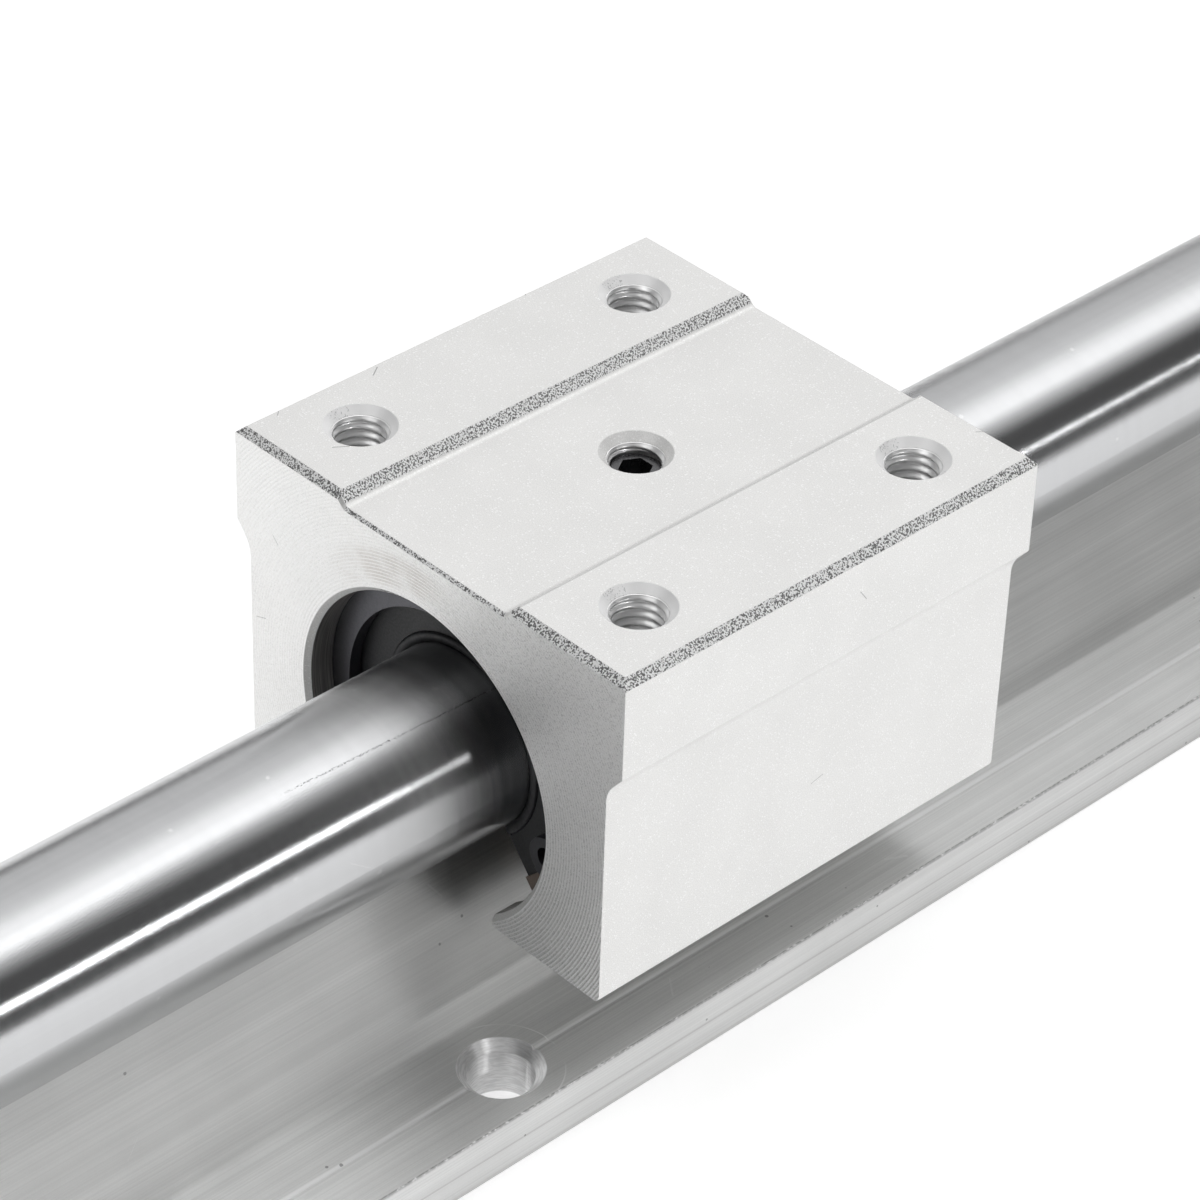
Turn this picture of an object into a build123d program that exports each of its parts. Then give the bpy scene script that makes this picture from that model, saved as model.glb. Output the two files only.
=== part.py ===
from build123d import *
from math import cos, radians, sin, sqrt
import os

os.makedirs("parts", exist_ok=True)

# A round shaft bolted along an extruded support rail, with one open bearing
# block that slides on it. Millimetres. The origin is the middle of the rail's
# underside: X runs across the rail, Y along the shaft and Z up.

# Shaft
shaft_diameter = 16.0
shaft_height = 25.0
shaft_end_chamfer = 0.8
shaft_tap_depth = 9.0

# Support rail
rail_length = 300.0
rail_width = 40.0
flange_thickness = 5.0
web_foot_width = 18.8
cradle_width = 7.6
flange_edge_round = 0.3
web_foot_round = 0.5
drill_groove_width = 0.9
drill_groove_depth = 0.2

# Holes along the rail
hole_pitch = 150.0
hole_spacing = 30.0
hole_diameter = 5.5
hole_rim_diameter = 7.2
least_end_distance = 20.0

# Screws that hold the shaft from below. Threads are drawn at their nominal diameter.
thread_diameter = 5.0
screw_length = 16.0
screw_engagement = 7.0
screw_head_diameter = 8.5
screw_head_height = 5.0
screw_socket_width = 4.0
screw_socket_depth = 2.5
screw_pocket_diameter = 9.5

# Bearing block
block_width = 45.0
block_length = 45.0
block_height = 32.1
top_above_shaft = 20.0
leg_width = 41.8
shoulder_drop = 9.0
shoulder_fall = 2.0
shoulder_round = 2.8
mouth_width = 16.8
leg_corner_round = 0.6
side_chamfer = 0.7
end_chamfer = 0.6
bore_entry_chamfer = 0.45
recess_width = 20.4
recess_depth = 1.0
recess_edge_break = 0.25
recess_foot_round = 0.8
block_from_front_holes = 27.2

# Tapped holes in the block's top
tap_rim_diameter = 6.1
tap_depth = 12.0
tap_spacing_across = 32.0
tap_spacing_along = 30.0

# Open ball bushing
bushing_diameter = 28.0
bushing_length = 37.0
bushing_opening_angle = 80.0
sleeve_rim_wall = 1.5
cage_bore_diameter = 16.8
ball_diameter = 3.175
balls_in_row = 7
ball_pitch = 3.3
ball_row_angles = (61.0, 131.0, 229.0, 299.0)
seal_bore_diameter = 16.1
seal_thickness = 1.4
seal_inset = 0.3

# Retaining rings in the block's bore
groove_diameter = 29.4
groove_width = 1.3
ring_thickness = 1.2
ring_free_width = 2.6
ring_offset = 0.4
ring_gap_angle = 116.0
ring_ear_radius = 1.9
ring_ear_hole_diameter = 2.0
ring_ear_angle = 9.5

# Set screw in the middle of the block
set_screw_length = 4.0
set_screw_socket_width = 2.5
set_screw_socket_depth = 2.0
set_screw_dimple_depth = 0.5
set_screw_chamfer = 0.4

# Clearances, and how far a threaded wall lies inside the thread's roots
bushing_fit = 0.02
ring_fit = 0.1
thread_inset = 0.1
thread_gap = 0.05
ball_gap = 0.02
cage_gap = 0.05
window_gap = 0.15

# Places worked out from the sizes above
shaft_radius = shaft_diameter / 2
shaft_bottom = shaft_height - shaft_radius
cradle_edge = shaft_height - sqrt(shaft_radius**2 - (cradle_width / 2) ** 2)
hole_rows = int((rail_length - 2 * least_end_distance) // hole_pitch) + 1
row_places = [(row - (hole_rows - 1) / 2) * hole_pitch for row in range(hole_rows)]
screw_seat = shaft_bottom + screw_engagement - screw_length

block_y = row_places[0] + block_from_front_holes
block_top = shaft_height + top_above_shaft
block_bottom = block_top - block_height
recess_floor = block_top - recess_depth
bore_radius = bushing_diameter / 2 + bushing_fit

sleeve_rim_radius = bushing_diameter / 2 - sleeve_rim_wall
ball_circle_radius = shaft_radius + ball_diameter / 2 + ball_gap
sleeve_track_radius = ball_circle_radius + ball_diameter / 2 + ball_gap
cage_radius = sleeve_track_radius - cage_gap
seal_outer_face = bushing_length / 2 - seal_inset
cage_length = 2 * (seal_outer_face - seal_thickness)
window_length = balls_in_row * ball_pitch + 2 * window_gap
window_width = ball_diameter + 2 * window_gap

groove_near = bushing_length / 2
groove_far = groove_near + groove_width
ring_near = groove_near + (groove_width - ring_thickness) / 2
ring_radius = groove_diameter / 2 - ring_fit
set_screw_tip = shaft_height + bushing_diameter / 2 - set_screw_dimple_depth
tapped_radius = thread_diameter / 2 - thread_inset
screw_radius = tapped_radius - thread_gap

underside = Plane(origin=(0, 0, 0), x_dir=(1, 0, 0), z_dir=(0, 0, -1))
shaft_seat = Plane(origin=(0, 0, shaft_bottom), x_dir=(1, 0, 0), z_dir=(0, 0, -1))
block_axis = Axis((0, block_y, shaft_height), (0, 1, 0))
block_half_section = Plane(origin=(0, block_y, shaft_height), x_dir=(0, 1, 0), z_dir=(1, 0, 0))


def across_shaft(distance):
    """Plane across the shaft, its origin on the axis, at a distance from the block's middle."""
    return Plane(origin=(0, block_y + distance, shaft_height), x_dir=(1, 0, 0), z_dir=(0, -1, 0))


def cut_opening(angle):
    """Cut the downward opening out of the sketch that is being drawn on a plane across the shaft."""
    reach = bushing_diameter
    half = radians(angle / 2)
    Polygon(
        (0, 0),
        (-reach * sin(half), -reach * cos(half)),
        (reach * sin(half), -reach * cos(half)),
        align=None,
        mode=Mode.SUBTRACT,
    )


def row_plane(angle):
    """Plane on the shaft's axis that faces outward at an angle from straight down, with Y along the shaft."""
    turn = radians(angle)
    return Plane(
        origin=(0, block_y, shaft_height), x_dir=(cos(turn), 0, sin(turn)), z_dir=(sin(turn), 0, -cos(turn))
    )


# Support rail: flanges, tapered web and the round cradle that the shaft lies in
with BuildPart() as support_rail:
    with BuildSketch(Plane.XZ) as rail_section:
        with BuildLine():
            right_side = Polyline(
                (0, 0),
                (rail_width / 2, 0),
                (rail_width / 2, flange_thickness),
                (web_foot_width / 2, flange_thickness),
                (cradle_width / 2, cradle_edge),
            )
            mirror(right_side, about=Plane.YZ)
            ThreePointArc(
                (cradle_width / 2, cradle_edge),
                (0, shaft_bottom),
                (-cradle_width / 2, cradle_edge),
            )
        make_face()
        at_flange_top = rail_section.vertices().filter_by_position(
            Axis.Y, flange_thickness, flange_thickness
        )
        fillet(at_flange_top.sort_by(Axis.X)[1:3], web_foot_round)
        at_flange_top = rail_section.vertices().filter_by_position(
            Axis.Y, flange_thickness, flange_thickness
        )
        fillet([at_flange_top.sort_by(Axis.X)[0], at_flange_top.sort_by(Axis.X)[-1]], flange_edge_round)
        with Locations((-hole_spacing / 2, flange_thickness), (hole_spacing / 2, flange_thickness)):
            Polygon(
                (-drill_groove_width / 2, 0),
                (drill_groove_width / 2, 0),
                (0, -drill_groove_depth),
                align=None,
                mode=Mode.SUBTRACT,
            )
    extrude(amount=rail_length / 2, both=True)
    with Locations(Plane.XY.offset(flange_thickness)):
        with GridLocations(hole_spacing, hole_pitch, 2, hole_rows):
            CounterSinkHole(
                radius=hole_diameter / 2,
                counter_sink_radius=hole_rim_diameter / 2,
                depth=flange_thickness,
                counter_sink_angle=90,
            )
    with Locations(underside):
        with GridLocations(hole_spacing, hole_pitch, 1, hole_rows):
            CounterBoreHole(
                radius=hole_diameter / 2,
                counter_bore_radius=screw_pocket_diameter / 2,
                counter_bore_depth=screw_seat,
                depth=shaft_height,
            )
support_rail.part.label = "support_rail"
export_step(support_rail.part, "parts/support_rail.step")

# Shaft: ground round bar with tapped holes along its underside
with BuildPart() as shaft:
    with BuildSketch(Plane.XZ):
        with Locations((0, shaft_height)):
            Circle(shaft_radius)
    extrude(amount=rail_length / 2, both=True)
    chamfer(shaft.edges().filter_by(GeomType.CIRCLE), shaft_end_chamfer)
    with Locations(shaft_seat):
        with GridLocations(hole_spacing, hole_pitch, 1, hole_rows):
            Hole(tapped_radius, shaft_tap_depth)
shaft.part.label = "shaft"
export_step(shaft.part, "parts/shaft.step")

# Socket head screws that pull the shaft into its cradle
for number, place in enumerate(row_places, 1):
    with BuildPart() as shaft_screw:
        with BuildSketch(Plane.XY.offset(screw_seat - screw_head_height)):
            with Locations((0, place)):
                Circle(screw_head_diameter / 2)
        extrude(amount=screw_head_height)
        with BuildSketch(Plane.XY.offset(screw_seat)):
            with Locations((0, place)):
                Circle(screw_radius)
        extrude(amount=screw_length)
        with BuildSketch(Plane.XY.offset(screw_seat - screw_head_height)):
            with Locations((0, place)):
                RegularPolygon(screw_socket_width / 2, 6, major_radius=False)
        extrude(amount=screw_socket_depth, mode=Mode.SUBTRACT)
    shaft_screw.part.label = f"shaft_screw_{number}"
    export_step(shaft_screw.part, f"parts/shaft_screw_{number}.step")

# Bearing block: two mounting pads, a shallow middle recess, waisted legs and a
# bore that is open downward
with BuildPart() as bearing_block:
    with BuildSketch(across_shaft(0)) as block_section:
        with BuildLine():
            right_side = Polyline(
                (0, recess_floor - shaft_height),
                (recess_width / 2 - recess_depth, recess_floor - shaft_height),
                (recess_width / 2, top_above_shaft),
                (block_width / 2 - side_chamfer, top_above_shaft),
                (block_width / 2, top_above_shaft - side_chamfer),
                (block_width / 2, top_above_shaft - shoulder_drop),
                (leg_width / 2, top_above_shaft - shoulder_drop - shoulder_fall),
                (leg_width / 2, block_bottom - shaft_height),
                (0, block_bottom - shaft_height),
            )
            mirror(right_side, about=Plane.YZ)
        make_face()
        waist = block_section.vertices().filter_by_position(
            Axis.Y,
            top_above_shaft - shoulder_drop - shoulder_fall,
            top_above_shaft - shoulder_drop - shoulder_fall,
        )
        fillet(waist, shoulder_round)
        recess_foot = block_section.vertices().filter_by_position(
            Axis.Y, recess_floor - shaft_height, recess_floor - shaft_height
        )
        fillet(recess_foot, recess_foot_round)
        Circle(bushing_diameter / 2, mode=Mode.SUBTRACT)
        Rectangle(mouth_width, block_height, align=(Align.CENTER, Align.MAX), mode=Mode.SUBTRACT)
        fillet(block_section.vertices().group_by(Axis.Y)[0], leg_corner_round)
    extrude(amount=block_length / 2, both=True)
    pads = bearing_block.faces().filter_by(Axis.Z).group_by(Axis.Z)[-1]
    chamfer(pads.edges().filter_by(Axis.X), end_chamfer)
    floor = bearing_block.faces().filter_by(Axis.Z).group_by(Axis.Z)[-2]
    chamfer(floor.edges().filter_by(Axis.X), recess_edge_break)
    with BuildSketch(block_half_section):
        Rectangle(block_length, bore_radius, align=(Align.CENTER, Align.MIN))
        with Locations(((groove_near + groove_far) / 2, 0), (-(groove_near + groove_far) / 2, 0)):
            Rectangle(groove_width, groove_diameter / 2, align=(Align.CENTER, Align.MIN))
        with BuildLine():
            Polyline(
                (block_length / 2 - bore_entry_chamfer, 0),
                (block_length / 2 - bore_entry_chamfer, bore_radius),
                (block_length / 2, bore_radius + bore_entry_chamfer),
                (block_length / 2, 0),
                close=True,
            )
        make_face()
        mirror(about=Plane.YZ)
    revolve(axis=block_axis, revolution_arc=360, mode=Mode.SUBTRACT)
    with Locations(Plane(origin=(0, block_y, block_top))):
        with GridLocations(tap_spacing_across, tap_spacing_along, 2, 2):
            CounterSinkHole(
                radius=tapped_radius,
                counter_sink_radius=tap_rim_diameter / 2,
                depth=tap_depth,
                counter_sink_angle=90,
            )
    with Locations(Plane(origin=(0, block_y, recess_floor))):
        CounterSinkHole(
            radius=tapped_radius,
            counter_sink_radius=tap_rim_diameter / 2,
            depth=top_above_shaft - bushing_diameter / 2,
            counter_sink_angle=90,
        )
bearing_block.part.label = "bearing_block"
export_step(bearing_block.part, "parts/bearing_block.step")

# One ball: a cube whose chamfered edges give it twenty-six sides
ball_chamfer = ball_diameter * (1 - 1 / sqrt(2))
with BuildPart() as ball_builder:
    Box(ball_diameter, ball_diameter, ball_diameter)
    chamfer(ball_builder.edges(), ball_chamfer)
ball = ball_builder.part

# Open bushing: hardened sleeve, slotted along its underside, with the ball
# track inside and a wider rim at each end for the end plates
with BuildPart() as bushing_sleeve:
    with BuildSketch(across_shaft(0)):
        Circle(bushing_diameter / 2)
        Circle(sleeve_track_radius, mode=Mode.SUBTRACT)
        cut_opening(bushing_opening_angle)
    extrude(amount=bushing_length / 2, both=True)
    for side in (-1, 1):
        with BuildSketch(across_shaft(side * bushing_length / 2)):
            Circle(sleeve_rim_radius)
        extrude(amount=side * (seal_inset + seal_thickness), mode=Mode.SUBTRACT)
    with Locations(Plane(origin=(0, block_y, set_screw_tip + set_screw_length))):
        Hole(tapped_radius, set_screw_length)
bushing_sleeve.part.label = "bushing_sleeve"
export_step(bushing_sleeve.part, "parts/bushing_sleeve.step")

# Ball cage inside the sleeve, with one window for each loaded row of balls
with BuildPart() as ball_cage:
    with BuildSketch(across_shaft(0)):
        Circle(cage_radius)
        Circle(cage_bore_diameter / 2, mode=Mode.SUBTRACT)
        cut_opening(bushing_opening_angle)
    extrude(amount=cage_length / 2, both=True)
    for angle in ball_row_angles:
        with BuildSketch(row_plane(angle)):
            Rectangle(window_width, window_length)
        extrude(amount=bushing_diameter / 2, mode=Mode.SUBTRACT)
ball_cage.part.label = "ball_cage"
export_step(ball_cage.part, "parts/ball_cage.step")

# Loaded balls, each drawn with flat sides that touch the real ball's sphere
with BuildPart() as bearing_balls:
    for angle in ball_row_angles:
        with Locations(row_plane(angle).offset(ball_circle_radius)):
            with GridLocations(window_width, ball_pitch, 1, balls_in_row):
                add(ball)
bearing_balls.part.label = "bearing_balls"
export_step(bearing_balls.part, "parts/bearing_balls.step")

# End plates of the bushing, whose bore wipes the shaft, and the retaining rings
# that hold the bushing in the block
for name, side in (("front", -1), ("rear", 1)):
    with BuildPart() as end_seal:
        with BuildSketch(across_shaft(side * seal_outer_face)):
            Circle(sleeve_rim_radius)
            Circle(seal_bore_diameter / 2, mode=Mode.SUBTRACT)
            cut_opening(bushing_opening_angle)
        extrude(amount=side * seal_thickness)
    end_seal.part.label = f"end_seal_{name}"
    export_step(end_seal.part, f"parts/end_seal_{name}.step")

    with BuildPart() as retaining_ring:
        with BuildSketch(across_shaft(side * ring_near)) as ring_shape:
            Circle(ring_radius)
            with Locations((0, -ring_offset)):
                Circle(ring_radius - ring_free_width, mode=Mode.SUBTRACT)
            cut_opening(ring_gap_angle)
            ear_reach = ring_radius - ring_ear_radius - ring_fit
            ear_angle = radians(ring_gap_angle / 2 + ring_ear_angle)
            ear_places = [
                (ear_reach * sin(ear_angle), -ear_reach * cos(ear_angle)),
                (-ear_reach * sin(ear_angle), -ear_reach * cos(ear_angle)),
            ]
            with Locations(*ear_places):
                Circle(ring_ear_radius)
            with Locations(*ear_places):
                Circle(ring_ear_hole_diameter / 2, mode=Mode.SUBTRACT)
        extrude(amount=-side * ring_thickness)
    retaining_ring.part.label = f"retaining_ring_{name}"
    export_step(retaining_ring.part, f"parts/retaining_ring_{name}.step")

# Set screw that locks the bushing from above
with BuildPart() as set_screw:
    with BuildSketch(Plane(origin=(0, block_y, set_screw_tip))):
        Circle(screw_radius)
    extrude(amount=set_screw_length)
    with BuildSketch(Plane(origin=(0, block_y, set_screw_tip + set_screw_length))):
        RegularPolygon(set_screw_socket_width / 2, 6, major_radius=False)
    extrude(amount=-set_screw_socket_depth, mode=Mode.SUBTRACT)
    chamfer(set_screw.edges().filter_by(GeomType.CIRCLE).sort_by(Axis.Z)[-1], set_screw_chamfer)
set_screw.part.label = "set_screw"
export_step(set_screw.part, "parts/set_screw.step")
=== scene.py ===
"""Looks of a round shaft on its support rail, with an open bearing block that slides on the shaft."""

import logging
import math
from dataclasses import dataclass
from enum import Enum

import bpy
from mathutils import Matrix, Vector


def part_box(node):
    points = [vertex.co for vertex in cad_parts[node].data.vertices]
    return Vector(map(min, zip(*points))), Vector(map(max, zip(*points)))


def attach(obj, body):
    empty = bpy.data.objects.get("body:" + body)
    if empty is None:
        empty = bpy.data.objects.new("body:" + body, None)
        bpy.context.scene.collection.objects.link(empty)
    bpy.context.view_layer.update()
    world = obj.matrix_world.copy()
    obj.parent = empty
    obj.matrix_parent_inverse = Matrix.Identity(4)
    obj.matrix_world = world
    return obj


logging.basicConfig(level=logging.INFO, format="%(name)s: %(message)s")
log = logging.getLogger("supported_shaft")

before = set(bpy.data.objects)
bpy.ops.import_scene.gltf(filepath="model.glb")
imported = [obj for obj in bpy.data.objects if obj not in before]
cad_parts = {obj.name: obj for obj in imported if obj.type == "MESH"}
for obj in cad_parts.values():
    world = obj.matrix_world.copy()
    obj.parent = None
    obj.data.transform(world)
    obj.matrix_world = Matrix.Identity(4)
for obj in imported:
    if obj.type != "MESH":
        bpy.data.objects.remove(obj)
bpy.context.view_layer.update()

MM = 0.001

BLOCK_LOW, BLOCK_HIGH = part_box("bearing_block")
SHAFT_LOW, SHAFT_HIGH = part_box("shaft")
BLOCK_Y = (BLOCK_LOW.y + BLOCK_HIGH.y) / 2
SHAFT_Z = (SHAFT_LOW.z + SHAFT_HIGH.z) / 2

# Most of a noise lies between these values.
NOISE_LOW, NOISE_HIGH = 0.3, 0.7
# How far a normal's share along an axis may be from that of a flat face.
FLAT_SPREAD = 0.05

Socket = bpy.types.NodeSocket
Feed = Socket | float | tuple[float, ...]
Vector3 = tuple[float, float, float]
Colour = tuple[float, float, float, float]
# A smooth step: the value at its start and end, then the results there.
Ramp = tuple[float, float, float, float]
# A strip of values: its middle, half its width, and the width of its soft edge.
Strip = tuple[float, float, float]


class Body(Enum):
    """The two bodies of the frame that pieces ride on."""

    RAIL = "rail"
    CARRIAGE = "carriage"


class Direction(Enum):
    """Directions that a surface can face, as unit axes of the frame."""

    ACROSS = (1.0, 0.0, 0.0)
    ALONG = (0.0, 1.0, 0.0)
    UP = (0.0, 0.0, 1.0)


class Wiring:
    """Adds and joins nodes in one shader node tree."""

    def __init__(self, tree: bpy.types.NodeTree) -> None:
        """Keep the tree that the nodes go into."""
        self.tree = tree

    def node(self, kind: str, **settings: object) -> bpy.types.Node:
        """Add one node.

        Args:
            kind: node type without its ShaderNode prefix.
            settings: properties of the node to set.

        Returns:
            The new node.
        """
        added = self.tree.nodes.new("ShaderNode" + kind)
        for name, value in settings.items():
            setattr(added, name, value)
        return added

    def feed(self, target: Socket, value: Feed) -> None:
        """Join a socket to a target, or set the target's own value.

        Args:
            target: input socket.
            value: output socket, number or tuple.
        """
        if isinstance(value, bpy.types.NodeSocket):
            self.tree.links.new(value, target)
        else:
            target.default_value = value

    def math(self, operation: str, first: Feed, second: Feed = 0.0, clamp: bool = False) -> Socket:
        """Add a Math node.

        Args:
            operation: name of the operation, such as MULTIPLY.
            first: first operand.
            second: second operand.
            clamp: keep the result between 0 and 1.

        Returns:
            The result's socket.
        """
        added = self.node("Math", operation=operation, use_clamp=clamp)
        self.feed(added.inputs[0], first)
        self.feed(added.inputs[1], second)
        return added.outputs[0]

    def product(self, *factors: Feed) -> Socket:
        """Multiply values, from left to right.

        Args:
            factors: two or more values.

        Returns:
            The product's socket.
        """
        result, *others = factors
        for factor in others:
            result = self.math("MULTIPLY", result, factor)
        return result

    def invert(self, mask: Feed) -> Socket:
        """Return 1 where the mask is 0, and 0 where it is 1."""
        return self.math("SUBTRACT", 1.0, mask)

    def hypotenuse(self, first: Feed, second: Feed) -> Socket:
        """Return the distance that two offsets at right angles make."""
        squares = self.math("ADD", self.math("POWER", first, 2.0), self.math("POWER", second, 2.0))
        return self.math("SQRT", squares)

    def vector_math(self, operation: str, first: Feed, second: Feed = (0.0, 0.0, 0.0)) -> bpy.types.Node:
        """Add a Vector Math node.

        Args:
            operation: name of the operation, such as MULTIPLY.
            first: first operand.
            second: second operand.

        Returns:
            The node, whose outputs are Vector and Value.
        """
        added = self.node("VectorMath", operation=operation)
        self.feed(added.inputs[0], first)
        self.feed(added.inputs[1], second)
        return added

    def remap(self, value: Feed, low: Feed, high: Feed, to_low: Feed = 0.0, to_high: Feed = 1.0) -> Socket:
        """Map a value from one range to another along a smooth step.

        Args:
            value: value to map.
            low: start of the range that it comes from.
            high: end of the range that it comes from.
            to_low: result at low.
            to_high: result at high.

        Returns:
            The mapped value's socket.
        """
        added = self.node("MapRange", interpolation_type="SMOOTHSTEP")
        for place, number in enumerate((value, low, high, to_low, to_high)):
            self.feed(added.inputs[place], number)
        return added.outputs[0]

    def band(self, value: Feed, middle: float, half_width: float, fade: float) -> Socket:
        """Mark a band of values.

        Args:
            value: value to test.
            middle: middle of the band.
            half_width: half of its full width.
            fade: width of its soft edge.

        Returns:
            A socket that is 1 inside the band and 0 beyond its soft edge.
        """
        off = self.math("ABSOLUTE", self.math("SUBTRACT", value, middle))
        return self.remap(off, half_width, half_width + fade, 1.0, 0.0)

    def shades(self, level: Feed, tint: Vector3 = (1.0, 1.0, 1.0)) -> Socket:
        """Make a colour from one level and a tint.

        Args:
            level: brightness.
            tint: share of each channel.

        Returns:
            The colour's socket.
        """
        colour = self.node("CombineColor")
        for channel, share in enumerate(tint):
            self.feed(colour.inputs[channel], self.math("MULTIPLY", level, share))
        return colour.outputs[0]

    def blend(self, share: Feed, first: Feed, second: Feed) -> Socket:
        """Blend two colours.

        Args:
            share: how much of the second colour, from 0 to 1.
            first: first colour.
            second: second colour.

        Returns:
            The blended colour's socket.
        """
        # The node's colour sockets are inputs 6 and 7 and output 2.
        added = self.node("Mix", data_type="RGBA")
        self.feed(added.inputs["Factor"], share)
        self.feed(added.inputs[6], first)
        self.feed(added.inputs[7], second)
        return added.outputs[2]

    def group(self, tree: bpy.types.NodeTree, **inputs: Feed) -> bpy.types.Node:
        """Place a node group.

        Args:
            tree: the group's tree.
            inputs: values by input name, with underscores for spaces.

        Returns:
            The group node.
        """
        added = self.node("Group", node_tree=tree)
        for name, value in inputs.items():
            self.feed(added.inputs[name.replace("_", " ")], value)
        return added


def grey(level: float) -> Colour:
    """Return an opaque grey of the given linear level."""
    return (level, level, level, 1.0)


def darker(colour: Colour, share: float) -> Colour:
    """Return the colour with that share of its brightness."""
    return (colour[0] * share, colour[1] * share, colour[2] * share, 1.0)


def open_group(
    name: str, inputs: dict[str, float | Vector3], outputs: dict[str, str]
) -> tuple[Wiring, bpy.types.Node, bpy.types.Node]:
    """Start a shader node group with named sockets.

    Args:
        name: the group's name.
        inputs: default value by input name; a tuple makes a vector socket.
        outputs: socket type by output name.

    Returns:
        The wiring of the group, its input node and its output node.
    """
    tree = bpy.data.node_groups.new(name, "ShaderNodeTree")
    for label, value in inputs.items():
        kind = "NodeSocketVector" if isinstance(value, tuple) else "NodeSocketFloat"
        tree.interface.new_socket(label, in_out="INPUT", socket_type=kind).default_value = value
    for label, kind in outputs.items():
        tree.interface.new_socket(label, in_out="OUTPUT", socket_type=kind)
    wiring = Wiring(tree)
    return wiring, tree.nodes.new("NodeGroupInput"), tree.nodes.new("NodeGroupOutput")


class SurfaceEffects:
    """Node groups for effects that several finishes share, each built once."""

    # Keeps the borders of the flecks' cells off the part's flat faces.
    CELL_SHIFT: Vector3 = (0.37 * MM, 0.43 * MM, 0.41 * MM)
    # A fleck by the distance from its cell's point, in cells.
    FLECK: Ramp = (0.28, 0.42, 1.0, 0.0)
    # Taken from a cell's random colour, this leaves the direction of its scratch.
    MIDDLE_COLOUR: Vector3 = (0.5, 0.5, 0.45)
    # Width of the broad lines, in fine ones.
    BROAD_LINE: float = 9.0
    NOISE_DETAIL: float = 2.0
    CLOUD_DETAIL: float = 3.0
    # Waves in a metre of a turned ring's wander.
    WANDER_SCALE: float = 900.0
    # Edge mask, for rubbed edges and painted edge highlights, by the agreement of the true and the rounded
    # normal.
    EDGE_MASK: Ramp = (0.998, 0.9, 0.0, 1.0)

    def __init__(self) -> None:
        """Build every shared effect."""
        self.grain = self._grain()
        self.flecks = self._flecks()
        self.scratches = self._scratches()
        self.drawn_lines = self._drawn_lines()
        self.turned_rings = self._turned_rings()
        self.edge_rounding = self._edge_rounding()
        self.facing = self._facing()

    def _grain(self) -> bpy.types.NodeTree:
        """Blasted or cast skin.

        Returns:
            Group with Fine, a height from 0 to 1, and Cloud, a slow change of tone.
        """
        w, start, end = open_group(
            "skin grain",
            {"Place": (0.0, 0.0, 0.0), "Grain Size": 0.2 * MM, "Cloud Size": 10 * MM},
            {"Fine": "NodeSocketFloat", "Cloud": "NodeSocketFloat"},
        )
        for label, size, detail in (
            ("Fine", "Grain Size", self.NOISE_DETAIL),
            ("Cloud", "Cloud Size", self.CLOUD_DETAIL),
        ):
            noise = w.node("TexNoise", noise_dimensions="3D")
            w.feed(noise.inputs["Vector"], start.outputs["Place"])
            w.feed(noise.inputs["Scale"], w.math("DIVIDE", 1.0, start.outputs[size]))
            noise.inputs["Detail"].default_value = detail
            w.feed(end.inputs[label], noise.outputs["Fac"])
        return w.tree

    def _flecks(self) -> bpy.types.NodeTree:
        """Small separate spots.

        Returns:
            Group with Mask, 1 on a spot and 0 elsewhere.
        """
        w, start, end = open_group(
            "flecks",
            {"Place": (0.0, 0.0, 0.0), "Fleck Size": 0.3 * MM, "Share": 0.1},
            {"Mask": "NodeSocketFloat"},
        )
        cells = w.node("TexVoronoi", feature="F1")
        off_grid = w.vector_math("ADD", start.outputs["Place"], self.CELL_SHIFT)
        w.feed(cells.inputs["Vector"], off_grid.outputs["Vector"])
        w.feed(cells.inputs["Scale"], w.math("DIVIDE", 1.0, start.outputs["Fleck Size"]))
        lot = w.node("SeparateColor")
        w.feed(lot.inputs[0], cells.outputs["Color"])
        chosen = w.math("LESS_THAN", lot.outputs[0], start.outputs["Share"])
        w.feed(end.inputs["Mask"], w.product(chosen, w.remap(cells.outputs["Distance"], *self.FLECK)))
        return w.tree

    def _scratches(self) -> bpy.types.NodeTree:
        """Short fine scratches in random directions.

        Returns:
            Group with Mask, 1 in a scratch.
        """
        w, start, end = open_group(
            "scratches",
            {
                "Place": (0.0, 0.0, 0.0),
                "Spacing": 4 * MM,
                "Share": 0.2,
                "Length": 0.8 * MM,
                "Width": 0.03 * MM,
            },
            {"Mask": "NodeSocketFloat"},
        )
        cells = w.node("TexVoronoi", feature="F1")
        w.feed(cells.inputs["Vector"], start.outputs["Place"])
        w.feed(cells.inputs["Scale"], w.math("DIVIDE", 1.0, start.outputs["Spacing"]))
        lot = w.node("SeparateColor")
        w.feed(lot.inputs[0], cells.outputs["Color"])
        chosen = w.math("LESS_THAN", lot.outputs[2], start.outputs["Share"])
        off = w.vector_math("SUBTRACT", start.outputs["Place"], cells.outputs["Position"]).outputs["Vector"]
        reach = w.vector_math("LENGTH", off).outputs["Value"]
        lean = w.vector_math("SUBTRACT", cells.outputs["Color"], self.MIDDLE_COLOUR).outputs["Vector"]
        lean = w.vector_math("NORMALIZE", lean).outputs["Vector"]
        across = w.math("ABSOLUTE", w.vector_math("DOT_PRODUCT", off, lean).outputs["Value"])
        narrow = w.math("LESS_THAN", across, start.outputs["Width"])
        short = w.math("LESS_THAN", reach, start.outputs["Length"])
        w.feed(end.inputs["Mask"], w.product(narrow, short, chosen))
        return w.tree

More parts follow.
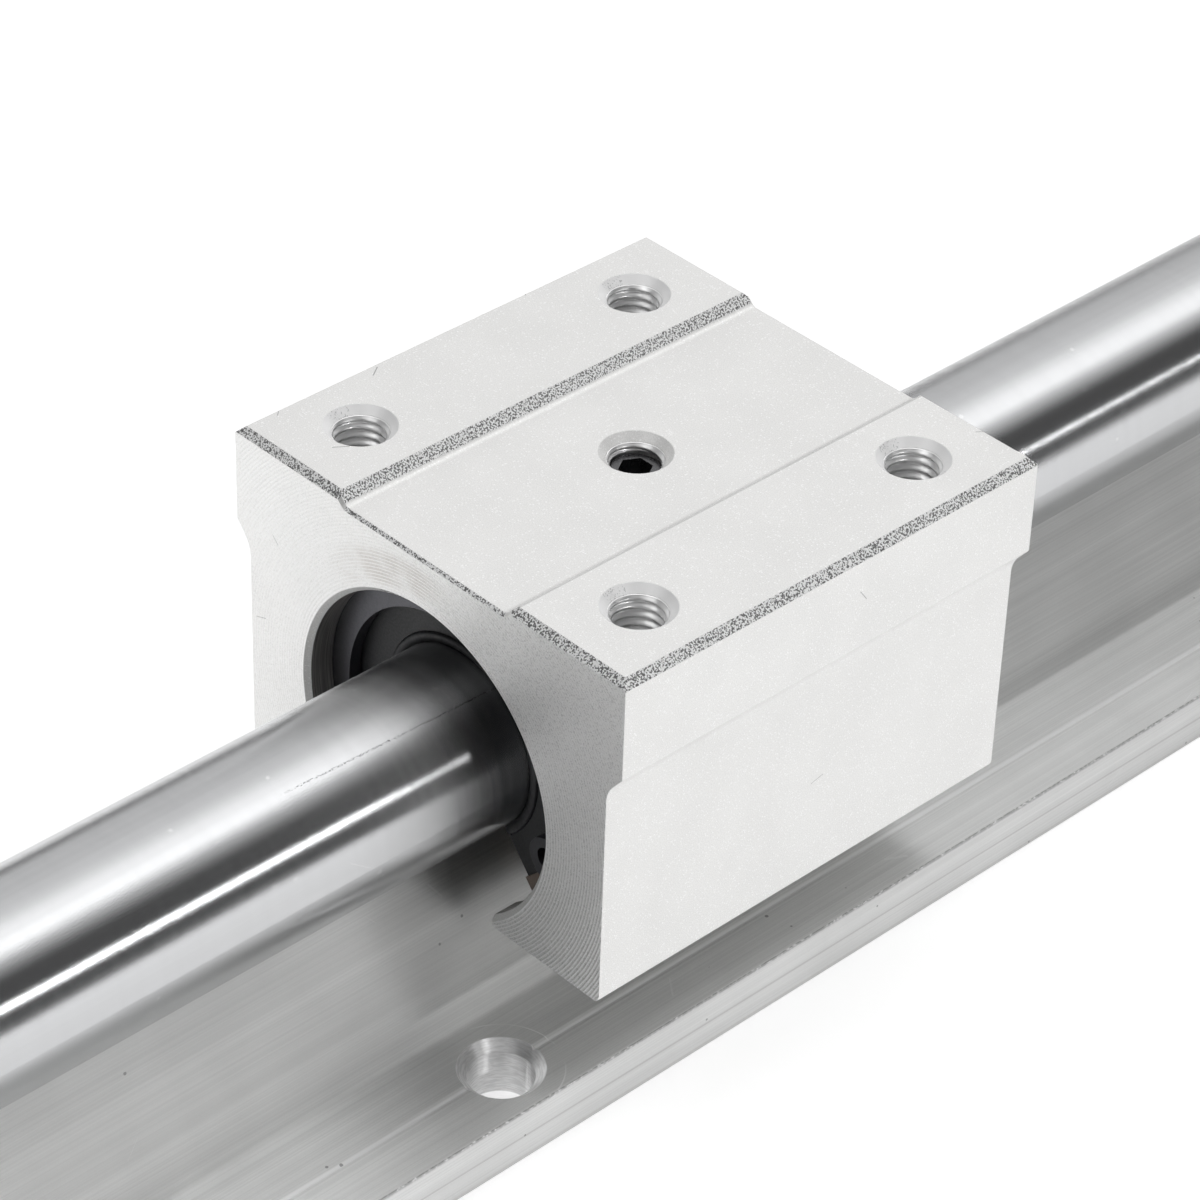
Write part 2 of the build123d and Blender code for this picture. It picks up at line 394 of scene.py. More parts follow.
    def _drawn_lines(self) -> bpy.types.NodeTree:
        """Lines left by drawing or grinding, stretched along one direction.

        Returns:
            Group with Fine and Broad, each from 0 to 1.
        """
        w, start, end = open_group(
            "drawn lines",
            {"Place": (0.0, 0.0, 0.0), "Stretch": (1.0, 0.01, 1.0), "Line Width": 0.2 * MM},
            {"Fine": "NodeSocketFloat", "Broad": "NodeSocketFloat"},
        )
        stretched = w.vector_math("MULTIPLY", start.outputs["Place"], start.outputs["Stretch"])
        for label, widths in (("Fine", 1.0), ("Broad", self.BROAD_LINE)):
            noise = w.node("TexNoise", noise_dimensions="3D")
            w.feed(noise.inputs["Vector"], stretched.outputs["Vector"])
            width = w.product(start.outputs["Line Width"], widths)
            w.feed(noise.inputs["Scale"], w.math("DIVIDE", 1.0, width))
            noise.inputs["Detail"].default_value = self.NOISE_DETAIL
            w.feed(end.inputs[label], noise.outputs["Fac"])
        return w.tree

    def _turned_rings(self) -> bpy.types.NodeTree:
        """Rings that a turning or milling tool leaves round the shaft's axis.

        Returns:
            Group with Height, from 0 to 0.5, and Radius in metres.
        """
        w, start, end = open_group(
            "turned rings",
            {
                "Place": (0.0, 0.0, 0.0),
                "Axis Height": 25 * MM,
                "Pitch": 0.25 * MM,
                "Wander": 0.04 * MM,
            },
            {"Height": "NodeSocketFloat", "Radius": "NodeSocketFloat"},
        )
        split = w.node("SeparateXYZ")
        w.feed(split.inputs[0], start.outputs["Place"])
        rise = w.math("SUBTRACT", split.outputs["Z"], start.outputs["Axis Height"])
        radius = w.hypotenuse(split.outputs["X"], rise)
        noise = w.node("TexNoise", noise_dimensions="3D")
        w.feed(noise.inputs["Vector"], start.outputs["Place"])
        noise.inputs["Scale"].default_value = self.WANDER_SCALE
        shift = w.product(noise.outputs["Fac"], start.outputs["Wander"])
        turn = w.math("DIVIDE", w.math("ADD", radius, shift), start.outputs["Pitch"])
        w.feed(end.inputs["Height"], w.math("PINGPONG", turn, 0.5))
        w.feed(end.inputs["Radius"], radius)
        return w.tree

    def _edge_rounding(self) -> bpy.types.NodeTree:
        """Rounded edges, with a mask of them for rubbed edges and painted edge highlights.

        Returns:
            Group with Mask, 1 on an edge, and Normal, rounded over the edge.
        """
        w, start, end = open_group(
            "edge rounding", {"Round": 0.15 * MM}, {"Mask": "NodeSocketFloat", "Normal": "NodeSocketVector"}
        )
        bevel = w.node("Bevel", samples=2)
        w.feed(bevel.inputs["Radius"], start.outputs["Round"])
        true = w.node("NewGeometry")
        alike = w.vector_math("DOT_PRODUCT", bevel.outputs["Normal"], true.outputs["Normal"])
        w.feed(end.inputs["Mask"], w.remap(alike.outputs["Value"], *self.EDGE_MASK))
        w.feed(end.inputs["Normal"], bevel.outputs["Normal"])
        return w.tree

    @staticmethod
    def _facing() -> bpy.types.NodeTree:
        """Where a surface faces along an axis, either way.

        Returns:
            Group with Mask, 1 where the normal lies within Spread of Axis, and Slant, 1 on 45 degree faces.
        """
        w, start, end = open_group(
            "facing",
            {"Axis": (0.0, 1.0, 0.0), "Spread": FLAT_SPREAD},
            {"Mask": "NodeSocketFloat", "Slant": "NodeSocketFloat"},
        )
        place = w.node("TexCoord")
        along = w.vector_math("DOT_PRODUCT", place.outputs["Normal"], start.outputs["Axis"])
        share = w.math("ABSOLUTE", along.outputs["Value"])
        w.feed(end.inputs["Mask"], w.math("GREATER_THAN", share, w.invert(start.outputs["Spread"])))
        off = w.math("ABSOLUTE", w.math("SUBTRACT", share, math.sqrt(0.5)))
        w.feed(end.inputs["Slant"], w.math("LESS_THAN", off, start.outputs["Spread"]))
        return w.tree


class Coat(Wiring):
    """A material in the making: a Principled shader, wired in the frame's own coordinates."""

    def __init__(self, name: str, effects: SurfaceEffects | None = None) -> None:
        """Start the material.

        Args:
            name: the material's name.
            effects: shared node groups, or None for a plain material.
        """
        self.material = bpy.data.materials.new(name)
        self.material.use_nodes = True
        super().__init__(self.material.node_tree)
        self.effects = effects
        self.shader = next(n for n in self.tree.nodes if n.type == "BSDF_PRINCIPLED")
        self.place = self.node("TexCoord").outputs["Object"]

    def axes(self) -> tuple[Socket, Socket, Socket]:
        """Split the place into its coordinates.

        Returns:
            The sockets of X, Y and Z.
        """
        split = self.node("SeparateXYZ")
        self.feed(split.inputs[0], self.place)
        return split.outputs["X"], split.outputs["Y"], split.outputs["Z"]

    def lines(self, stretch: Vector3, width: float) -> bpy.types.Node:
        """Place drawn lines of a width, with how much they change along each axis."""
        return self.group(self.effects.drawn_lines, Place=self.place, Stretch=stretch, Line_Width=width)

    def grain(self, size: float, cloud_size: float = 10 * MM) -> bpy.types.Node:
        """Place a grain of a size, with slow clouds of another."""
        return self.group(self.effects.grain, Place=self.place, Grain_Size=size, Cloud_Size=cloud_size)

    def flecks(self, size: float, share: float) -> Socket:
        """Return a mask of flecks of a size, in a share of their cells."""
        placed = self.group(self.effects.flecks, Place=self.place, Fleck_Size=size, Share=share)
        return placed.outputs["Mask"]

    def scratches(self, spacing: float, share: float, length: float) -> Socket:
        """Place short scratches.

        Args:
            spacing: size of the cells that they lie in.
            share: share of the cells that hold one.
            length: how far each reaches from its middle.

        Returns:
            Mask, 1 in a scratch.
        """
        tree = self.effects.scratches
        placed = self.group(tree, Place=self.place, Spacing=spacing, Share=share, Length=length)
        return placed.outputs["Mask"]

    def rings(self, pitch: float) -> bpy.types.Node:
        """Place turned rings of a pitch round the shaft's axis."""
        return self.group(self.effects.turned_rings, Place=self.place, Axis_Height=SHAFT_Z, Pitch=pitch)

    def edge_rounding(self, size: float) -> bpy.types.Node:
        """Place the rounding of edges of a size."""
        return self.group(self.effects.edge_rounding, Round=size)

    def facing(self, direction: Direction, spread: float = FLAT_SPREAD) -> bpy.types.Node:
        """Place the test of where the surface faces."""
        return self.group(self.effects.facing, Axis=direction.value, Spread=spread)

    def spread(self, body: Feed, share: Feed, level: float) -> Socket:
        """Lay a grey of a level over a colour, by a share."""
        return self.blend(share, body, grey(level))

    def vary(self, noise: Socket, middle: float, shares: tuple[float, float]) -> Socket:
        """Vary a value with a noise, between two shares of it."""
        return self.remap(noise, NOISE_LOW, NOISE_HIGH, middle * shares[0], middle * shares[1])

    def paint(self, colour: Feed, metallic: Feed, roughness: Feed) -> None:
        """Feed the shader's colour, metallic and roughness sockets."""
        for label, value in (("Base Color", colour), ("Metallic", metallic), ("Roughness", roughness)):
            self.feed(self.shader.inputs[label], value)

    def stretch_gloss(self, across: Feed, share: float) -> None:
        """Blur reflections along one direction of the surface, as fine parallel marks do.

        Args:
            across: direction of the blur, which is square to the marks.
            share: how strongly the blur follows that direction, from 0 to 1.
        """
        self.shader.inputs["Anisotropic"].default_value = share
        self.feed(self.shader.inputs["Tangent"], across)

    def relief(self, height: Feed, depth: float, base: Feed | None = None) -> None:
        """Feed the shader's normal from a height.

        Args:
            height: height from 0 to 1.
            depth: metres between height 0 and 1.
            base: normal to start from, or None for the mesh's own.
        """
        bump = self.node("Bump")
        bump.inputs["Distance"].default_value = depth
        self.feed(bump.inputs["Height"], height)
        if base is not None:
            self.feed(bump.inputs["Normal"], base)
        self.feed(self.shader.inputs["Normal"], bump.outputs["Normal"])


@dataclass(frozen=True)
class DrawnAluminium:
    """Extruded rail: lengthwise lines, a painted highlight along the drill groove, marks round the screw
    holes, nicked edges.
    """

    name: str = "drawn_aluminium"
    tone: float = 0.79
    tint: Vector3 = (0.995, 1.0, 0.99)
    roughness: Ramp = (NOISE_LOW, NOISE_HIGH, 0.4512, 0.5088)
    blur_share: float = 0.96
    drawing: Vector3 = (0.05, 1.0, 0.03)
    line_width: float = 0.16 * MM
    line_stretch: Vector3 = (1.0, 0.004, 1.0)
    line_depth: float = 0.005 * MM
    grain_size: float = 0.12 * MM
    cloud_size: float = 9 * MM
    broad_tone: Ramp = (NOISE_LOW, NOISE_HIGH, 0.955, 1.04)
    fine_tone: Ramp = (NOISE_LOW, NOISE_HIGH, 0.945, 1.05)
    cloud_tone: Ramp = (0.35, NOISE_HIGH, 0.97, 1.02)
    grain_tone: Ramp = (NOISE_LOW, NOISE_HIGH, 0.985, 1.015)
    edge_round: float = 0.12 * MM
    saw_width: float = 0.22 * MM
    saw_stretch: Vector3 = (1.0, 1.0, 0.03)
    saw_tone: Ramp = (NOISE_LOW, NOISE_HIGH, 0.632, 0.869)
    hole_across: float = 15.0 * MM
    hole_along: float = 75.0 * MM
    hole_rim: float = 3.6 * MM
    rim_overlap: float = 0.02 * MM
    rim_fade: float = 0.2 * MM
    drill_width: float = 0.12 * MM
    drill_stretch: Vector3 = (0.12, 0.12, 1.0)
    drill_tone: Ramp = (0.35, 0.65, 0.84, 1.0)
    # Painted highlight along the drill groove.
    groove_highlight: Strip = (0.0, 0.12 * MM, 0.2 * MM)
    groove_highlight_share: float = 0.75
    groove_highlight_tone: float = 0.95
    screw_mark: Strip = (5.1 * MM, 0.03 * MM, 0.05 * MM)
    screw_mark_share: float = 0.8
    screw_mark_breaks: Ramp = (0.46, 0.58, 0.0, 1.0)
    flange_top: float = 5.0 * MM
    # How far below and above the flange's top a point still counts as on it.
    top_below: float = 0.3 * MM
    top_above: float = 0.05 * MM
    flange_edge: float = 19.9 * MM
    edge_strip: Strip = (19.9 * MM, 0.04 * MM, 0.07 * MM)
    dent_width: float = 0.2 * MM
    dent_stretch: Vector3 = (1.0, 0.5, 1.0)
    # A dark line along the flange's outer edge, varied by the dents.
    edge_dark_line: Ramp = (0.4, 0.6, 0.6, 0.25)
    dent_bright: Ramp = (0.58, 0.64, 0.0, 1.0)
    edge_dark_line_tone: float = 0.15
    # Painted light: the outer side face is lighter.
    side_painted_light_share: float = 0.35
    # The side's seam: a dark line at mid-height of the outer side.
    seam_and_edge_shade: Strip = (2.4 * MM, 0.04 * MM, 0.12 * MM)
    # Painted shade: the outer side darkens toward its foot, against the floor.
    painted_foot_shade: Ramp = (0.25 * MM, 0.55 * MM, 0.8, 0.0)
    seam_and_shade_share: float = 0.3
    seam_and_foot_shade_tint: Colour = (0.36, 0.34, 0.34, 1.0)
    nick_spacing: float = 5 * MM
    nick_cells: float = 0.3
    nick_length: float = 1.1 * MM
    nick_share: float = 0.3
    nick_tone: float = 0.98
    speck_size: float = 0.45 * MM
    speck_cells: float = 0.002
    speck_share: float = 0.6
    speck_tone: float = 0.12

    def material(self, effects: SurfaceEffects) -> bpy.types.Material:
        """Build the material.

        Args:
            effects: shared node groups.

        Returns:
            The material.
        """
        coat = Coat(self.name, effects)
        lines = coat.lines(self.line_stretch, self.line_width)
        skin = coat.grain(self.grain_size, self.cloud_size)
        tones = (
            (lines.outputs["Broad"], self.broad_tone),
            (lines.outputs["Fine"], self.fine_tone),
            (skin.outputs["Cloud"], self.cloud_tone),
            (skin.outputs["Fine"], self.grain_tone),
        )
        level = coat.product(*(coat.remap(noise, *ramp) for noise, ramp in tones))
        body = coat.shades(coat.product(level, self.tone), self.tint)
        body = self._saw_marks(coat, body)
        body = self._hole_marks(coat, body, skin.outputs["Cloud"])
        body = self._flange_edge(coat, body, level)
        nicks = coat.scratches(self.nick_spacing, self.nick_cells, self.nick_length)
        specks = coat.flecks(self.speck_size, self.speck_cells)
        body = coat.spread(body, coat.product(nicks, self.nick_share), self.nick_tone)
        body = coat.spread(body, coat.product(specks, self.speck_share), self.speck_tone)

        coat.paint(body, 1.0, coat.remap(lines.outputs["Fine"], *self.roughness))
        true = coat.node("NewGeometry").outputs["Normal"]
        across = coat.vector_math("CROSS_PRODUCT", true, self.drawing).outputs["Vector"]
        coat.stretch_gloss(across, self.blur_share)
        rounded_edges = coat.edge_rounding(self.edge_round)
        coat.relief(lines.outputs["Fine"], self.line_depth, rounded_edges.outputs["Normal"])
        return coat.material

    def _saw_marks(self, coat: Coat, body: Socket) -> Socket:
        """Add the saw's upright marks on the rail's ends.

        Args:
            coat: material in the making.
            body: colour so far.

        Returns:
            The colour with the marks.
        """
        sawn = coat.lines(self.saw_stretch, self.saw_width)
        ends = coat.facing(Direction.ALONG).outputs["Mask"]
        return coat.blend(ends, body, coat.shades(coat.remap(sawn.outputs["Fine"], *self.saw_tone)))

    def _on_top(self, coat: Coat, height: Socket) -> Socket:
        """Find the flange's top.

        Args:
            coat: material in the making.
            height: height above the floor.

        Returns:
            Mask, 1 on the flange's top.
        """
        above = coat.math("GREATER_THAN", height, self.flange_top - self.top_below)
        below = coat.math("LESS_THAN", height, self.flange_top + self.top_above)
        return coat.product(above, below)

    def _hole_marks(self, coat: Coat, body: Socket, cloud: Socket) -> Socket:
        """Add the drill's marks in the holes, a painted highlight along the groove between them, and the
        rings left by screw heads.

        Args:
            coat: material in the making.
            body: colour so far.
            cloud: slow noise, which breaks up the rings.

        Returns:
            The colour with the marks.
        """
        x, y, height = coat.axes()
        on_top = self._on_top(coat, height)
        from_groove = coat.math("SUBTRACT", coat.math("ABSOLUTE", x), self.hole_across)
        from_row = coat.math("SUBTRACT", coat.math("ABSOLUTE", y), self.hole_along)
        radius = coat.hypotenuse(from_groove, from_row)
        drilled = coat.lines(self.drill_stretch, self.drill_width)
        in_hole = coat.math("LESS_THAN", radius, self.hole_rim + self.rim_overlap)
        body = coat.blend(in_hole, body, coat.shades(coat.remap(drilled.outputs["Fine"], *self.drill_tone)))
        clear = coat.remap(radius, self.hole_rim, self.hole_rim + self.rim_fade)
        # Painted highlight along the drill groove, clear of the holes.
        groove_highlight = coat.product(coat.band(from_groove, *self.groove_highlight), clear, on_top, self.groove_highlight_share)
        body = coat.spread(body, groove_highlight, self.groove_highlight_tone)
        broken = coat.remap(cloud, *self.screw_mark_breaks)
        mark = coat.product(coat.band(radius, *self.screw_mark), broken, on_top, self.screw_mark_share)
        return coat.spread(body, mark, 1.0)

    def _flange_edge(self, coat: Coat, body: Socket, level: Socket) -> Socket:
        """Add the dented edge of the flange, painted light on its outer side, and the side's seam and
        painted shade at its foot.

        Args:
            coat: material in the making.
            body: colour so far.
            level: brightness of the drawn skin.

        Returns:
            The colour with the edge and side.
        """
        x, _, height = coat.axes()
        side = coat.math("ABSOLUTE", x)
        edge = coat.product(coat.band(side, *self.edge_strip), self._on_top(coat, height))
        dents = coat.lines(self.dent_stretch, self.dent_width).outputs["Fine"]
        # A dark line along the flange's outer edge, varied by the dents.
        body = coat.spread(body, coat.product(edge, coat.remap(dents, *self.edge_dark_line)), self.edge_dark_line_tone)
        body = coat.spread(body, coat.product(edge, coat.remap(dents, *self.dent_bright)), 1.0)
        outer = coat.math("GREATER_THAN", side, self.flange_edge)
        # Painted light: the outer side face is lighter.
        body = coat.blend(coat.product(outer, self.side_painted_light_share), body, coat.shades(level))
        # The side's seam, and painted shade at its foot.
        dark = coat.math("MAXIMUM", coat.band(height, *self.seam_and_edge_shade), coat.remap(height, *self.painted_foot_shade))
        return coat.blend(coat.product(dark, outer, self.seam_and_shade_share), body, self.seam_and_foot_shade_tint)


@dataclass(frozen=True)
class BlastedAluminium:
    """Bearing block: pale blasted skin, coarse speckled chamfers and turned end faces."""

    name: str = "blasted_aluminium"
    tone: float = 0.86
    tint: Vector3 = (1.0, 0.997, 0.987)
    roughness: float = 0.58
    grain_size: float = 0.1 * MM
    grain_depth: float = 0.006 * MM
    cloud_size: float = 6 * MM
    grain_tone: Ramp = (NOISE_LOW, NOISE_HIGH, 0.93, 1.05)
    cloud_tone: Ramp = (NOISE_LOW, NOISE_HIGH, 0.985, 1.01)
    edge_round: float = 0.1 * MM
    # Rubbed edges, partly real wear and partly a painted edge highlight.
    rubbed_and_highlight_share: float = 0.3
    rubbed_and_highlight_tone: float = 0.96
    hair_spacing: float = 4.5 * MM
    hair_cells: float = 0.12
    hair_length: float = 0.7 * MM
    hair_share: float = 0.6
    hair_tone: float = 0.3
    # Size of the coarse noise that places the pits of painted shade on the ends, and pits the chamfers and
    # countersinks.
    salt_size: float = 0.15 * MM
    end_tone: float = 0.98
    end_roughness: float = 0.54
    # Painted shade: pits darken the end faces toward the right.
    end_painted_shade_pits: Ramp = (0.36, 0.48, 0.2, 0.0)
    # Where the painted light on the end faces is strongest: toward the right, and toward the foot.
    painted_light_toward_right: Ramp = (-6 * MM, 14 * MM, 0.35, 1.0)
    painted_light_toward_foot: Ramp = (SHAFT_Z + 16 * MM, SHAFT_Z - 6 * MM, 0.4, 1.0)
    ring_pitch: float = 0.3 * MM
    ring_depth: float = 0.03 * MM
    ridge: Ramp = (0.28, 0.42, 0.0, 1.0)
    # Painted highlight on the ridges of the turned rings, and painted shade in their valleys.
    ridge_highlight_share: float = 0.9
    valley_shade_share: float = 0.22
    valley_shade_tone: float = 0.42
    # Painted glints: sparkle flecks, strongest toward the lower right of the ends.
    sparkle_size: float = 0.2 * MM
    sparkle_cells: float = 0.2
    sparkle_share: float = 0.8
    stain_ring: Strip = (16.4 * MM, 0.9 * MM, 1.2 * MM)
    stain_across: Strip = (-4 * MM, 3 * MM, 5 * MM)
    stain_from: float = SHAFT_Z + 8 * MM
    stain_breaks: Ramp = (0.4, 0.6, 0.0, 0.4)
    stain_tint: Colour = (0.5, 0.44, 0.4, 1.0)
    # Painted shade: a dark line along the right step of the recess, on level faces.
    seam_and_edge_shade: Strip = (10.28 * MM, 0.03 * MM, 0.07 * MM)
    seam_and_shade_share: float = 0.4
    recess_edge_shade_tone: float = 0.35
    speckle: Ramp = (0.44, 0.52, 0.0, 1.0)
    speckle_dark: float = 0.17
    speckle_metal: float = 0.3
    chamfers_from: float = 44.2 * MM
    pad_half_width: float = 21.0 * MM
    inner_strip: Strip = (10.28 * MM, 0.9 * MM, 0.1 * MM)
    tap_across: float = 16.0 * MM
    tap_along: float = 15.0 * MM
    tap_rim: float = 3.15 * MM
    cone_tone: float = 0.97
    cone_pits: Ramp = (0.56, 0.64, 0.0, 0.4)
    cone_pit_tone: float = 0.2
    bore_radius: float = 14.9 * MM
    # Painted shade on the bore's wall, with its turning lines.
    bore_shade_tone: Ramp = (0.35, 0.65, 0.3, 0.5)
    bore_shade_tint: Vector3 = (1.0, 0.97, 0.95)
    bore_line_width: float = 0.12 * MM
    bore_stretch: Vector3 = (0.02, 1.0, 0.02)

    def material(self, effects: SurfaceEffects) -> bpy.types.Material:
        """Build the material.

        Args:
            effects: shared node groups.

        Returns:
            The material.
        """
        coat = Coat(self.name, effects)
        skin = coat.grain(self.grain_size, self.cloud_size)
        salt = coat.grain(self.salt_size).outputs["Fine"]
        rings = coat.rings(self.ring_pitch)
        rounded_edges = coat.edge_rounding(self.edge_round)
        along = coat.facing(Direction.ALONG)
        ends = along.outputs["Mask"]

        body = self._skin(coat, skin, rings, salt, ends)
        x, _, _ = coat.axes()
        up = coat.facing(Direction.UP)
        # Painted shade: a dark line along the right step of the recess, on level faces.
        seam_and_edge_shade = coat.product(coat.band(x, *self.seam_and_edge_shade), up.outputs["Mask"], self.seam_and_shade_share)
        body = coat.spread(body, seam_and_edge_shade, self.recess_edge_shade_tone)
        hairs = coat.scratches(self.hair_spacing, self.hair_cells, self.hair_length)
        body = coat.spread(body, coat.product(hairs, self.hair_share), self.hair_tone)
        chamfers = self._chamfers(coat, along.outputs["Slant"], up.outputs["Slant"])
        speckle = coat.blend(coat.remap(salt, *self.speckle), grey(self.speckle_dark), grey(1.0))
        body = coat.blend(chamfers, body, speckle)
        body = self._countersinks(coat, body, salt, up.outputs["Mask"])
        body = self._bore(coat, body, rings.outputs["Radius"], along)
        # Rubbed edges, partly real wear and partly a painted edge highlight.
        body = coat.spread(body, coat.product(rounded_edges.outputs["Mask"], self.rubbed_and_highlight_share), self.rubbed_and_highlight_tone)

        metallic = coat.remap(chamfers, 0.0, 1.0, 1.0, self.speckle_metal)
        coat.paint(body, metallic, coat.remap(ends, 0.0, 1.0, self.roughness, self.end_roughness))
        turned = coat.product(rings.outputs["Height"], ends, 2 * self.ring_depth / self.grain_depth)
        height = coat.math("ADD", skin.outputs["Fine"], turned)
        coat.relief(height, self.grain_depth, rounded_edges.outputs["Normal"])
        return coat.material

    def _skin(
        self, coat: Coat, skin: bpy.types.Node, rings: bpy.types.Node, salt: Socket, ends: Socket
    ) -> Socket:
        """Colour the blasted skin, and the turned ends with their rings, sparkle and stain; the ends get
        painted shade in pits toward the right, and painted highlights on ring ridges, painted shade in ring
        valleys and painted glints strongest toward the lower right.

        Args:
            coat: material in the making.
            skin: placed grain.
            rings: placed turned rings.
            salt: coarse noise.
            ends: mask of the end faces.

        Returns:
            The colour.
        """
        x, _, height = coat.axes()
        right = coat.remap(x, *self.painted_light_toward_right)
        # Painted shade: pits darken the end faces toward the right.
        pits = coat.product(coat.remap(salt, *self.end_painted_shade_pits), right)
        base = coat.remap(ends, 0.0, 1.0, self.tone, coat.math("SUBTRACT", self.end_tone, pits))
        fine = coat.remap(skin.outputs["Fine"], *self.grain_tone)
        cloud = coat.remap(skin.outputs["Cloud"], *self.cloud_tone)
        body = coat.shades(coat.product(fine, cloud, base), self.tint)

        # Painted highlights on the ring ridges, painted shade in their valleys, and painted glints,
        # strongest toward the lower right of the ends.
        painted_light_strength = coat.product(coat.remap(height, *self.painted_light_toward_foot), right, ends)
        ridge = coat.remap(rings.outputs["Height"], *self.ridge)
        valley = coat.invert(ridge)
        body = coat.spread(body, coat.product(valley, painted_light_strength, self.valley_shade_share), self.valley_shade_tone)
        body = coat.spread(body, coat.product(painted_light_strength, ridge, self.ridge_highlight_share), 1.0)
        sparkle = coat.flecks(self.sparkle_size, self.sparkle_cells)
        glint = coat.math("ADD", self.sparkle_share, coat.product(painted_light_strength, 1 - self.sparkle_share))
        body = coat.spread(body, coat.product(sparkle, glint), 1.0)

        ring = coat.band(rings.outputs["Radius"], *self.stain_ring)
        above = coat.math("GREATER_THAN", height, self.stain_from)
        broken = coat.remap(skin.outputs["Cloud"], *self.stain_breaks)
        stain = coat.product(ring, coat.band(x, *self.stain_across), above, ends, valley, broken)
        return coat.blend(stain, body, self.stain_tint)

    def _chamfers(self, coat: Coat, along_slant: Socket, up_slant: Socket) -> Socket:
        """Find the straight chamfers round the top and along the recess.

        Args:
            coat: material in the making.
            along_slant: mask of faces at 45 degrees to the shaft.
            up_slant: mask of faces at 45 degrees to the floor.

        Returns:
            Mask, 1 on a chamfer.
        """
        x, y, height = coat.axes()
        across_slant = coat.facing(Direction.ACROSS).outputs["Slant"]
        slanted = coat.math("ADD", across_slant, along_slant, clamp=True)
        side = coat.math("ABSOLUTE", x)
        from_middle = coat.math("ABSOLUTE", coat.math("SUBTRACT", y, BLOCK_Y))
        past_pad = coat.math("GREATER_THAN", coat.math("MAXIMUM", side, from_middle), self.pad_half_width)
        high = coat.math("GREATER_THAN", height, self.chamfers_from)
        inner = coat.product(high, coat.band(side, *self.inner_strip))
        return coat.product(slanted, up_slant, coat.math("MAXIMUM", past_pad, inner))

    def _countersinks(self, coat: Coat, body: Socket, salt: Socket, level_faces: Socket) -> Socket:
        """Brighten and pit the countersinks of the tapped holes.

        Args:
            coat: material in the making.
            body: colour so far.
            salt: coarse noise.
            level_faces: mask of level faces.

        Returns:
            The colour with the countersinks.
        """
        x, y, _ = coat.axes()
        off_tap = coat.math("SUBTRACT", coat.math("ABSOLUTE", x), self.tap_across)
        off_middle = coat.math("ABSOLUTE", coat.math("SUBTRACT", y, BLOCK_Y))
        radius = coat.hypotenuse(off_tap, coat.math("SUBTRACT", off_middle, self.tap_along))
        cone = coat.product(coat.math("LESS_THAN", radius, self.tap_rim), coat.invert(level_faces))
        body = coat.spread(body, cone, self.cone_tone)
        slanted = coat.facing(Direction.ACROSS).outputs["Slant"]
        pits = coat.product(cone, slanted, coat.remap(salt, *self.cone_pits))
        return coat.spread(body, pits, self.cone_pit_tone)

    def _bore(self, coat: Coat, body: Socket, radius: Socket, along: bpy.types.Node) -> Socket:
        """Paint shade into the turned bore, with its turning lines.

        Args:
            coat: material in the making.
            body: colour so far.
            radius: distance from the shaft's axis.
            along: placed test for faces toward the shaft's ends.

        Returns:
            The colour with the bore.
        """
        # Painted shade: the bore's wall is darkened, with turning lines in it.
        inside = coat.math("LESS_THAN", radius, self.bore_radius)
        wall = coat.product(inside, coat.invert(along.outputs["Mask"]), coat.invert(along.outputs["Slant"]))
        turning = coat.lines(self.bore_stretch, self.bore_line_width).outputs["Fine"]
        return coat.blend(wall, body, coat.shades(coat.remap(turning, *self.bore_shade_tone), self.bore_shade_tint))


